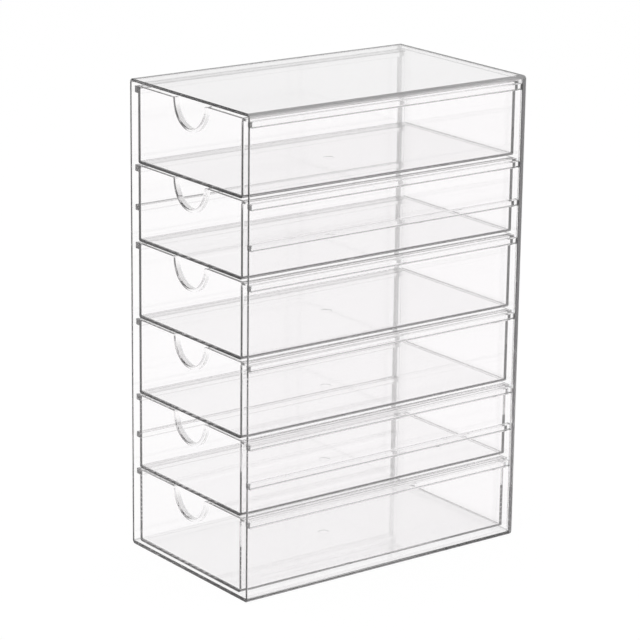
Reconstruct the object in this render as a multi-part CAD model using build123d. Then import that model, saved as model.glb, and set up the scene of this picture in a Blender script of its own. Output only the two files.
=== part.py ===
from build123d import *
import math
import os

os.makedirs("parts", exist_ok=True)

# Clear moulded tower of equal drawers for make-up and small things.
# One open-fronted case carries rails on the inside of both side walls. Each drawer is one
# moulding that hangs from these rails by a flange along each side of its rim.
# Millimetres. The origin is the middle of the case's underside, +X is the right-hand side,
# the drawers open towards -Y, and +Z is up.

# Case
case_width = 160.0            # outside, left to right
case_depth = 265.4            # outside, front rim to back face
side_wall = 2.4
top_wall = 2.4
base_wall = 3.0
back_wall = 3.2
case_edge_radius = 3.0        # outside edges, all but the open front
case_inner_radius = 1.0       # edges inside the case, all but the next two
case_back_radius = 3.2        # the two upright edges at the back of the cavity
case_rim_radius = 0.4         # edges of the open front rim

# Rails inside the case
rail_reach = 6.2              # how far a rail stands in from its wall
rail_height = 4.7
rail_front_setback = 3.0      # from the case's front rim to the rail's front end
rail_tip_radius = 0.8
rail_end_radius = 2.5         # corner of the rail's front end, seen from above
spare_rail_bays = (2, 5)      # bays, counted from the top, with a second pair for a shallow drawer

# Drawers
drawer_count = 6
drawer_height = 60.6
drawer_front_wall = 2.4
drawer_side_wall = 1.6
drawer_back_wall = 2.0
drawer_floor = 2.0
drawer_bottom_radius = 2.0    # long edges under the drawer
drawer_inner_radius = 0.8     # edges inside the drawer
drawer_end_radius = 0.5       # edges round the front and back faces
flange_thickness = 1.8
flange_tip_radius = 0.6
flange_root_radius = 0.8      # under the flange, where it meets the drawer's side

# Finger notch in the front of each drawer
notch_radius = 20.4
notch_depth = 20.8            # from the rim down
notch_lip_radius = 2.0        # where the notch runs out into the rim
collar_wall = 2.4
collar_depth = 5.4            # from the front face to the collar's back edge

# Round mark that the mould leaves under the middle of each drawer's floor
gate_mark_radius = 4.5
gate_mark_depth = 0.4

# Clearances
rail_clearance = 0.1          # flange to the top of its rail
rail_tip_gap = 2.0            # rail tip to the side of the drawer
flange_side_gap = 3.6         # flange tip to the case's side wall
drawer_recess = 0.35          # drawer front behind the case's front rim
drawer_back_gap = 0.75        # back of a closed drawer to the case's back wall
base_gap = 2.05               # lowest drawer to the case's floor
drawer_gap = 1.5              # one drawer to the next
top_gap = 2.45                # top drawer's rim to the case's ceiling

# Worked out from the sizes above
drawer_pitch = drawer_height + drawer_gap
stack_height = drawer_count * drawer_height + (drawer_count - 1) * drawer_gap
case_height = base_wall + base_gap + stack_height + top_gap + top_wall
case_front = -case_depth / 2
case_back = case_depth / 2
cavity_half_width = case_width / 2 - side_wall
cavity_back = case_back - back_wall
rail_tip = cavity_half_width - rail_reach
body_half_width = rail_tip - rail_tip_gap
flange_tip = cavity_half_width - flange_side_gap
drawer_front = case_front + drawer_recess
drawer_back = cavity_back - drawer_back_gap
drawer_length = drawer_back - drawer_front
notch_centre_z = drawer_height - notch_depth + notch_radius
lip_centre_z = drawer_height - notch_lip_radius
lip_slope = math.asin((notch_centre_z - lip_centre_z) / (notch_radius + notch_lip_radius))
lip_centre_x = (notch_radius + notch_lip_radius) * math.cos(lip_slope)
cut_margin = 5.0              # how far a cutting shape runs past what it cuts


def block(x_span, y_span, z_span):
    """Box between two values along each axis."""
    size = [high - low for low, high in (x_span, y_span, z_span)]
    middle = [(high + low) / 2 for low, high in (x_span, y_span, z_span)]
    return Pos(*middle) * Box(*size)


def along_depth(section, y_low, y_high):
    """Solid with an X-Z section, from one depth to another."""
    start = Plane(origin=(0, y_low, 0), x_dir=(1, 0, 0), z_dir=(0, -1, 0))
    return extrude(start * section, amount=y_high - y_low, dir=(0, 1, 0))


def drawer_bottom_z(number):
    """Height of a drawer's underside. Drawer 1 is the top one."""
    return base_wall + base_gap + (drawer_count - number) * drawer_pitch


def rail_tops():
    """Heights of the rails' upper faces, one pair for each drawer and the spare pairs."""
    heights = []
    for number in range(1, drawer_count + 1):
        seat = drawer_bottom_z(number) + drawer_height - flange_thickness - rail_clearance
        heights.append(seat)
        if number in spare_rail_bays:
            heights.append(seat - drawer_pitch / 2)
    return heights


def in_cavity(edge):
    """True for an edge that stands clear of the side walls."""
    return abs(edge.center().X) < cavity_half_width


def make_rail(top, side):
    """One rail with a rounded tip and front corner. It runs from its front end into the back wall."""
    root = cavity_half_width + side_wall / 2
    low_x, high_x = sorted((side * rail_tip, side * root))
    rail_front = case_front + rail_front_setback
    rail = block((low_x, high_x), (rail_front, cavity_back + back_wall / 2), (top - rail_height, top))
    front_uprights = rail.edges().filter_by(Axis.Z).sort_by(Axis.Y)[:2]
    rail = fillet(front_uprights.filter_by(in_cavity), rail_end_radius)
    long_edges = rail.edges().filter_by(Axis.Y).filter_by(in_cavity)
    return fillet(long_edges + rail.edges().filter_by(GeomType.CIRCLE), rail_tip_radius)


def make_case():
    """Open-fronted shell with its rails."""
    half_width = case_width / 2
    shell = block((-half_width, half_width), (case_front, case_back), (0, case_height))
    front_edges = shell.faces().sort_by(Axis.Y)[0].edges()
    kept_centres = [edge.center() for edge in front_edges]
    round_edges = [e for e in shell.edges() if all((e.center() - c).length > 1e-6 for c in kept_centres)]
    shell = fillet(round_edges, case_edge_radius)

    cavity = block(
        (-cavity_half_width, cavity_half_width),
        (case_front - cut_margin, cavity_back),
        (base_wall, case_height - top_wall),
    )
    cavity_back_face = cavity.faces().sort_by(Axis.Y)[-1]
    cavity = fillet(cavity_back_face.edges().filter_by(Axis.Z), case_back_radius)
    cavity_long = cavity.edges().filter_by(Axis.Y)
    cavity_back_flats = cavity.faces().sort_by(Axis.Y)[-1].edges().filter_by(Axis.X)
    cavity_corners = cavity.edges().filter_by(GeomType.CIRCLE)
    cavity = fillet(cavity_long + cavity_back_flats + cavity_corners, case_inner_radius)
    case = shell - cavity

    rim_edges = case.faces().sort_by(Axis.Y)[0].edges()
    case = fillet(rim_edges, case_rim_radius)
    for top in rail_tops():
        for side in (-1, 1):
            case = case + make_rail(top, side)
    return case


def drawer_section():
    """Outline of a closed drawer block across its depth, with both flanges."""
    under_flange = drawer_height - flange_thickness
    right_side = [
        (body_half_width, 0),
        (body_half_width, under_flange),
        (flange_tip, under_flange),
        (flange_tip, drawer_height),
    ]
    left_side = [(-x, z) for x, z in reversed(right_side)]
    outline = make_face(Polyline(*right_side, *left_side, close=True).edges())

    rounds = {
        (body_half_width, (0,)): drawer_bottom_radius,
        (body_half_width, (under_flange,)): flange_root_radius,
        (flange_tip, (under_flange, drawer_height)): flange_tip_radius,
    }
    for (x, heights), radius in rounds.items():
        chosen = [v for v in outline.vertices() if near(v, x, heights)]
        outline = fillet(chosen, radius)
    return outline


def near(vertex, x, heights):
    """True for a vertex at plus or minus x and at one of the heights of a section."""
    on_side = abs(abs(vertex.X) - x) < 1e-6
    return on_side and any(abs(vertex.Y - height) < 1e-6 for height in heights)


def lip_arc(side):
    """Rounded lip at one end of the notch, from the rim to where the notch's own arc begins."""
    rim_end = (side * lip_centre_x, drawer_height)
    half_turn = (math.pi / 2 - lip_slope) / 2
    middle = (
        side * (lip_centre_x - notch_lip_radius * math.sin(half_turn)),
        lip_centre_z + notch_lip_radius * math.cos(half_turn),
    )
    arc_end = (
        side * notch_radius * math.cos(lip_slope),
        notch_centre_z - notch_radius * math.sin(lip_slope),
    )
    return rim_end, middle, arc_end


def notch_opening():
    """Outline of the finger notch, running out into the rim with rounded lips."""
    left_rim, left_middle, left_end = lip_arc(-1)
    right_rim, right_middle, right_end = lip_arc(1)
    mouth_top = drawer_height + cut_margin
    lines = [
        ThreePointArc(left_rim, left_middle, left_end),
        ThreePointArc(left_end, (0, drawer_height - notch_depth), right_end),
        ThreePointArc(right_end, right_middle, right_rim),
        Line(right_rim, (lip_centre_x, mouth_top)),
        Line((lip_centre_x, mouth_top), (-lip_centre_x, mouth_top)),
        Line((-lip_centre_x, mouth_top), left_rim),
    ]
    return make_face(lines)


def collar_block():
    """The notch's turned-in collar, still solid inside."""
    collar_radius = notch_radius + collar_wall
    upper_half = Pos(0, collar_radius) * Rectangle(2 * collar_radius, 2 * collar_radius)
    lower_half = Pos(0, notch_centre_z) * (Circle(collar_radius) - upper_half)
    band_height = drawer_height - notch_centre_z
    band = Pos(0, notch_centre_z + band_height / 2) * Rectangle(2 * collar_radius, band_height)
    return lower_half + band


def make_drawer():
    """One drawer with its underside at height zero."""
    body = along_depth(drawer_section(), drawer_front, drawer_back)
    end_edges = []
    for face in (body.faces().sort_by(Axis.Y)[0], body.faces().sort_by(Axis.Y)[-1]):
        end_edges += face.edges()
    body = fillet(end_edges, drawer_end_radius)

    inner_half_width = body_half_width - drawer_side_wall
    hollow = block(
        (-inner_half_width, inner_half_width),
        (drawer_front + drawer_front_wall, drawer_back - drawer_back_wall),
        (drawer_floor, drawer_height + cut_margin),
    )
    inner_edges = hollow.edges().filter_by(Axis.Z) + hollow.faces().sort_by(Axis.Z)[0].edges()
    body = body - fillet(inner_edges, drawer_inner_radius)

    collar_start = drawer_front + drawer_front_wall / 2
    body = body + along_depth(collar_block(), collar_start, drawer_front + collar_depth)
    notch = along_depth(notch_opening(), drawer_front - cut_margin, drawer_front + collar_depth + cut_margin)
    body = body - notch

    middle_y = (drawer_front + drawer_back) / 2
    gate_mark = Cylinder(gate_mark_radius, 2 * gate_mark_depth)
    return body - Pos(0, middle_y, 0) * gate_mark


case = make_case()
export_step(case, "parts/case.step")

drawer = make_drawer()
for number in range(1, drawer_count + 1):
    placed = Pos(0, 0, drawer_bottom_z(number)) * drawer
    export_step(placed, f"parts/drawer_{number}.step")

print("case", case_width, case_depth, round(case_height, 2))
print("drawer", 2 * flange_tip, round(drawer_length, 2), drawer_height)
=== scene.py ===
import math
import bpy
from mathutils import Matrix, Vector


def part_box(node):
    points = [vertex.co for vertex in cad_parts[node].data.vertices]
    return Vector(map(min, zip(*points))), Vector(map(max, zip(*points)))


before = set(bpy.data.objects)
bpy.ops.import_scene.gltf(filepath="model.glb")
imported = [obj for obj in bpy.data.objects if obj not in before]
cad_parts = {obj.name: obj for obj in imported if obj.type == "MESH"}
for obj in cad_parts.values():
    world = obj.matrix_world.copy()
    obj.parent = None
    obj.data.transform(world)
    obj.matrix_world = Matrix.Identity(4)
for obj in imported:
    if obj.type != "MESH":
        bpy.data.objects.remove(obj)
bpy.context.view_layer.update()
print("frame loaded:", len(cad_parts), "nodes")


# Shader maths: a value wraps a socket, and the operators add Math nodes to its tree.
class Value:
    def __init__(self, shader, socket):
        self.shader = shader
        self.socket = socket

    def maths(self, operation, *inputs):
        return self.shader.node("ShaderNodeMath", {"operation": operation}, dict(enumerate(inputs)))

    def __add__(self, other):
        return self.maths("ADD", self, other)

    def __radd__(self, other):
        return self.maths("ADD", other, self)

    def __sub__(self, other):
        return self.maths("SUBTRACT", self, other)

    def __rsub__(self, other):
        return self.maths("SUBTRACT", other, self)

    def __mul__(self, other):
        return self.maths("MULTIPLY", self, other)

    def __rmul__(self, other):
        return self.maths("MULTIPLY", other, self)

    def __rpow__(self, other):
        return self.maths("POWER", other, self)

    def __mod__(self, other):
        return self.maths("MODULO", self, other)

    def __abs__(self):
        return self.maths("ABSOLUTE", self)

    def larger(self, other):
        return self.maths("MAXIMUM", self, other)

    def smaller(self, other):
        return self.maths("MINIMUM", self, other)

    def root(self):
        return self.maths("SQRT", self)

    # a mask: 0 at the first value, 1 at the second, and a soft ramp between
    def rise(self, first, second):
        return self.shader.node("ShaderNodeMapRange", {"interpolation_type": "SMOOTHSTEP"}, {
            "Value": self,
            "From Min": first,
            "From Max": second,
        })


class Shader:
    def __init__(self, owner):
        owner.use_nodes = True
        self.tree = owner.node_tree
        self.tree.nodes.clear()

    # makes any node: its type, its settings, then the values or links of its sockets
    def node(self, kind, settings=None, sockets=None, out=0):
        made = self.tree.nodes.new(kind)
        for name, value in (settings or {}).items():
            if name == "stops":
                self.setStops(made.color_ramp, value)
            else:
                setattr(made, name, value)
        for name, value in (sockets or {}).items():
            if isinstance(value, Value):
                self.tree.links.new(value.socket, made.inputs[name])
            else:
                made.inputs[name].default_value = value
        if not made.outputs:
            return None
        return Value(self, made.outputs[out])

    def setStops(self, ramp, stops):
        while len(ramp.elements) < len(stops):
            ramp.elements.new(1.0)
        for element, (position, colour) in zip(ramp.elements, stops):
            element.position = position
            element.color = (*colour, 1)


# Studio: pale floor, a bright horizon that gets darker upwards, one soft lamp overhead
studio = {
    "floorReach": 4.0,
    "floorGrey": 0.08,
    "floorGlow": 0.97,      # brings the open floor to white and leaves the shadow
    "floorDrop": 0.0004,    # leaves air under the case, so that its underside draws
    # degrees up and grey
    "sky": ((0, 1.0), (8, 0.92), (12, 0.8), (22, 0.78), (34, 0.45), (48, 0.15), (90, 0.08)),
    "lampSize": 1.2,
    "lampHeight": 1.7,
    "lampWatts": 6.0,
    "freeTurns": 5,         # past these turns inside a wall light fades, so that edges draw as lines
    "turnFade": 0.4,        # what each further turn keeps
    "turnRest": 0.2,        # what is left in the end
    "nearFloor": 0.25,      # up to here the floor doesn't fade: the side walls end on it
    "farFloor": 0.5,        # from here it fades as the sky does
}


# how bright the studio is to light that has turned inside the plastic; share is how much of the fade holds
def turnLight(shader, share=1.0):
    turns = shader.node("ShaderNodeLightPath", out="Glossy Depth")
    rest = studio["turnRest"]
    kept = rest + (1 - rest) * studio["turnFade"] ** (turns - studio["freeTurns"]).larger(0)
    return 1 - share * (1 - kept)


def makeWorld():
    world = bpy.data.worlds.new("studioSky")
    bpy.context.scene.world = world
    sky = Shader(world)
    way = sky.node("ShaderNodeTexCoord", out="Generated")
    up = sky.node("ShaderNodeSeparateXYZ", sockets={0: way}, out="Z")
    stops = [(math.sin(math.radians(degrees)), (grey,) * 3) for degrees, grey in studio["sky"]]
    grey = sky.node("ShaderNodeValToRGB", {"stops": stops}, {0: up})
    light = sky.node("ShaderNodeBackground", sockets={"Color": grey, "Strength": turnLight(sky)})
    sky.node("ShaderNodeOutputWorld", sockets={"Surface": light})


def makeFloor():
    reach = studio["floorReach"]
    low = -studio["floorDrop"]
    corners = [(-reach, -reach, low), (reach, -reach, low), (reach, reach, low), (-reach, reach, low)]
    mesh = bpy.data.meshes.new("floor")
    mesh.from_pydata(corners, [], [(0, 1, 2, 3)])
    floor = bpy.data.objects.new("floor", mesh)
    bpy.context.scene.collection.objects.link(floor)
    mesh.materials.append(makePaper())


# The floor's glow is the background colour: it is seen directly, mirrored or through the plastic, and
# doesn't light the floor or the milky edges.
def makePaper():
    material = bpy.data.materials.new("floorPaper")
    paper = Shader(material)
    place = paper.node("ShaderNodeTexCoord", out="Object")
    reached = paper.node("ShaderNodeVectorMath", {"operation": "LENGTH"}, {0: place}, out="Value")
    dimmed = turnLight(paper, reached.rise(studio["nearFloor"], studio["farFloor"]))
    rays = ("Is Camera Ray", "Is Glossy Ray", "Is Transmission Ray")
    direct, mirrored, through = [paper.node("ShaderNodeLightPath", out=ray) for ray in rays]
    seen = direct.larger(mirrored).larger(through)
    body = paper.node("ShaderNodeBsdfDiffuse", sockets={"Color": studio["floorGrey"] * dimmed})
    glow = paper.node("ShaderNodeEmission", sockets={
        "Color": (1, 1, 1, 1),
        "Strength": studio["floorGlow"] * dimmed * seen,
    })
    both = paper.node("ShaderNodeAddShader", sockets={0: body, 1: glow})
    paper.node("ShaderNodeOutputMaterial", sockets={"Surface": both})
    return material


def makeLamp():
    lamp = bpy.data.lights.new("softLamp", "AREA")
    lamp.size = studio["lampSize"]
    lamp.energy = studio["lampWatts"]
    holder = bpy.data.objects.new("softLamp", lamp)
    holder.location = (0, 0, studio["lampHeight"])
    holder.visible_glossy = False
    holder.visible_transmission = False
    bpy.context.scene.collection.objects.link(holder)


# Camera, as solved from the straight edges of the photograph
view = {
    "place": (1.75257, -1.31863, 0.82177),
    "azimuth": 53.186,
    "down": 16.204,
    "roll": 0.737,
    "lens": 161.89,
    "sensor": 36,
    "farthest": 50,
}


def makeCamera():
    camera = bpy.data.cameras.new("camera")
    camera.lens = view["lens"]
    camera.sensor_width = view["sensor"]
    camera.clip_end = view["farthest"]
    holder = bpy.data.objects.new("camera", camera)
    turn = Matrix.Rotation(math.radians(view["azimuth"]), 4, "Z")
    tilt = Matrix.Rotation(math.radians(90 - view["down"]), 4, "X")
    roll = Matrix.Rotation(math.radians(view["roll"]), 4, "Z")
    holder.matrix_world = Matrix.Translation(view["place"]) @ turn @ tilt @ roll
    bpy.context.scene.collection.objects.link(holder)
    bpy.context.scene.camera = holder


# Clear moulded plastic, with a faint ripple in its faces and faint smudges on them
plastic = {
    "index": 1.49,
    "clean": (1.0, 0.996, 0.998),
    "smudged": (0.997, 0.993, 0.995),
    "inside": (0.66, 0.64, 0.65, 1),    # takes light out over a long way inside a wall
    "density": 4.0,
    "milky": (0.85, 0.84, 0.845, 1),
    "rippleSize": 9.0,
    "rippleDetail": 1.0,
    "rippleDepth": 0.00002,
    "smudgeSize": 22.0,
    "smudgeDetail": 3.0,
    "smudgeStops": (0.3, 0.7),
    "wornFrom": (0.55, 0.75),
    "roughest": 0.03,
}


# describe works out two masks from the place on a piece: shade is painted shade that darkens the colour, and
# haze is milky
def makePlastic(name, seed, describe):
    material = bpy.data.materials.new(name)
    clear = Shader(material)
    place = clear.node("ShaderNodeTexCoord", out="Object")
    x, y, z = [clear.node("ShaderNodeSeparateXYZ", sockets={0: place}, out=axis) for axis in "XYZ"]
    paintedShade, haze = describe(x, y, z)
    moved = clear.node("ShaderNodeMapping", sockets={"Vector": place, "Location": (seed, seed, seed)})
    ripple = clear.node("ShaderNodeTexNoise", sockets={
        "Vector": moved,
        "Scale": plastic["rippleSize"],
        "Detail": plastic["rippleDetail"],
    })
    smudge = clear.node("ShaderNodeTexNoise", sockets={
        "Vector": moved,
        "Scale": plastic["smudgeSize"],
        "Detail": plastic["smudgeDetail"],
    })
    stops = zip(plastic["smudgeStops"], (plastic["smudged"], plastic["clean"]))
    colour = clear.node("ShaderNodeValToRGB", {"stops": tuple(stops)}, {0: smudge})
    # a Mix node has its factor at 0, its two colours at 6 and 7, and the mixed colour at output 2
    # painted shade: the colour is multiplied by 1 minus the shade mask, so the masked places are painted
    # darker
    paintedShadeColour = clear.node("ShaderNodeMix", {"data_type": "RGBA", "blend_type": "MULTIPLY"}, {
        0: 1.0,
        6: colour,
        7: 1 - paintedShade,
    }, out=2)
    bump = clear.node("ShaderNodeBump", sockets={
        "Height": ripple,
        "Distance": plastic["rippleDepth"],
        "Strength": 1.0,
    })
    body = clear.node("ShaderNodeBsdfPrincipled", sockets={
        "Base Color": paintedShadeColour,
        "Roughness": plastic["roughest"] * smudge.rise(*plastic["wornFrom"]),
        "IOR": plastic["index"],
        "Transmission Weight": 1.0,
        "Normal": bump,
    })
    milk = clear.node("ShaderNodeBsdfDiffuse", sockets={"Color": plastic["milky"], "Normal": bump})
    surface = clear.node("ShaderNodeMixShader", sockets={0: haze, 1: body, 2: milk})
    inside = clear.node("ShaderNodeVolumeAbsorption", sockets={
        "Color": plastic["inside"],
        "Density": plastic["density"],
    })
    clear.node("ShaderNodeOutputMaterial", sockets={"Surface": surface, "Volume": inside})
    return material


# Case: the left and back edges of its top and its foot are darkened with painted shade, and the top's
# rounded edges, the upright back corners and the rails' front ends are milky. Lengths are in from the
# case's own faces, and each pair gives where a mask is 0 and where it is 1.
case = {
    "seed": 0.0,
    "topShade": 0.98,
    "topInset": (0.0056, 0.0048),
    "topDepth": (0.0018, 0.0009),
    "leftPart": (0.0, -0.01),       # this one from the middle
    "backPart": (0.0127, 0.0077),
    "footShade": 0.5,
    "footInset": (0.0022, 0.0014),
    "footFront": (0.0004, 0.0002),
    "footHeight": (0.0034, 0.0024),
    "edgeHaze": 0.6,
    "edgeInset": (0.0032, 0.0024),
    "edgeDepth": (0.0034, 0.0026),
    "cornerHaze": 0.5,
    "cornerSide": (0.0032, 0.0024),
    "cornerBack": (0.0053, 0.0045),
    "railHaze": 0.4,
    "railTip": (0.0098, 0.0095),
    "railRoot": (0.0026, 0.0029),
    "railFront": (0.0045, 0.0037),
    "railAboveFloor": (0.0035, 0.004),
    "railBelowTop": (0.0028, 0.0032),
}


def describeCase(x, y, z):
    low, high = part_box("case")
    fromSide = high.x - abs(x)
    fromBack = high.y - y
    fromFront = y - low.y
    fromTop = high.z - z
    inset = fromSide.smaller(fromBack)
    leftOrBack = x.rise(*case["leftPart"]).larger(fromBack.rise(*case["backPart"]))
    topLine = inset.rise(*case["topInset"]) * fromTop.rise(*case["topDepth"]) * leftOrBack
    foot = inset.rise(*case["footInset"]).larger(fromFront.rise(*case["footFront"]))
    foot = foot * z.rise(*case["footHeight"])
    topEdge = inset.rise(*case["edgeInset"]) * fromTop.rise(*case["edgeDepth"])
    backCorner = fromSide.rise(*case["cornerSide"]) * fromBack.rise(*case["cornerBack"])
    railEnd = fromSide.rise(*case["railTip"]) * fromSide.rise(*case["railRoot"])
    railEnd = railEnd * fromFront.rise(*case["railFront"])
    between = z.rise(*case["railAboveFloor"]) * fromTop.rise(*case["railBelowTop"])
    # painted shade: the top's left and back strips and the case's foot are darkened in its colour
    paintedShade = case["topShade"] * topLine + case["footShade"] * foot
    edges = (case["edgeHaze"] * topEdge).larger(case["cornerHaze"] * backCorner)
    return paintedShade, edges.larger(case["railHaze"] * railEnd * between)


# Drawers: the front's lower edge and the lower part of the notch's surface are darkened with painted shade,
# and the flanges' front ends are milky. Lengths are in from the drawer's own faces, and the pairs are as for
# the case.
drawer = {
    "seed": 3.7,
    "frontDepth": (0.0012, 0.0006),
    "footShade": 0.9,
    "footHeight": (0.0026, 0.0014),
    "notchShade": 0.35,
    "notchMiddle": 0.0004,      # below the rim
    "notchRadius": 0.0204,
    "notchSurface": (0.0008, 0.0004),
    "notchDepth": (0.00555, 0.00505),
    "notchDrop": (0.003, 0.01),
    "flangeHaze": 0.4,
    "flangeSide": (0.0047, 0.0044),
    "flangeHeight": (0.0025, 0.0022),
}


# one material serves all the drawers, so heights repeat from each drawer to the next
def describeDrawer(x, y, z):
    low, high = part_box("drawer_6")
    height = high.z - low.z
    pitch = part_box("drawer_5")[0].z - low.z
    halfGap = (pitch - height) / 2      # the count starts in the gap under a drawer, clear of its underside
    level = (z - (low.z - halfGap)) % pitch - halfGap
    fromSide = high.x - abs(x)
    fromFront = y - low.y
    fromRim = height - level
    atFront = fromFront.rise(*drawer["frontDepth"])
    foot = atFront * level.rise(*drawer["footHeight"])
    flange = atFront * fromSide.rise(*drawer["flangeSide"]) * fromRim.rise(*drawer["flangeHeight"])
    drop = fromRim - drawer["notchMiddle"]
    fromMiddle = (x * x + drop * drop).root()
    notch = abs(fromMiddle - drawer["notchRadius"]).rise(*drawer["notchSurface"])
    notch = notch * fromFront.rise(*drawer["notchDepth"]) * drop.rise(*drawer["notchDrop"])
    # painted shade: the drawer's lower front edge and the notch's lower surface are darkened in its colour
    paintedShade = drawer["footShade"] * foot + drawer["notchShade"] * notch
    return paintedShade, drawer["flangeHaze"] * flange


makeWorld()
makeFloor()
makeLamp()
makeCamera()
print("studio and camera made")

casePlastic = makePlastic("caseClear", case["seed"], describeCase)
drawerPlastic = makePlastic("drawerClear", drawer["seed"], describeDrawer)
for name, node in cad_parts.items():
    node.data.materials.clear()
    node.data.materials.append(casePlastic if name == "case" else drawerPlastic)
print("plastic given to", len(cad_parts), "nodes")

# Light runs down a whole wall before it leaves, which takes more than a hundred turns.
bounces = {
    "most": 256,
    "mirrored": 256,
    "through": 64,
    "scattered": 2,
}
scene = bpy.context.scene
scene.view_settings.view_transform = "Standard"
scene.cycles.max_bounces = bounces["most"]
scene.cycles.glossy_bounces = bounces["mirrored"]
scene.cycles.transmission_bounces = bounces["through"]
scene.cycles.diffuse_bounces = bounces["scattered"]
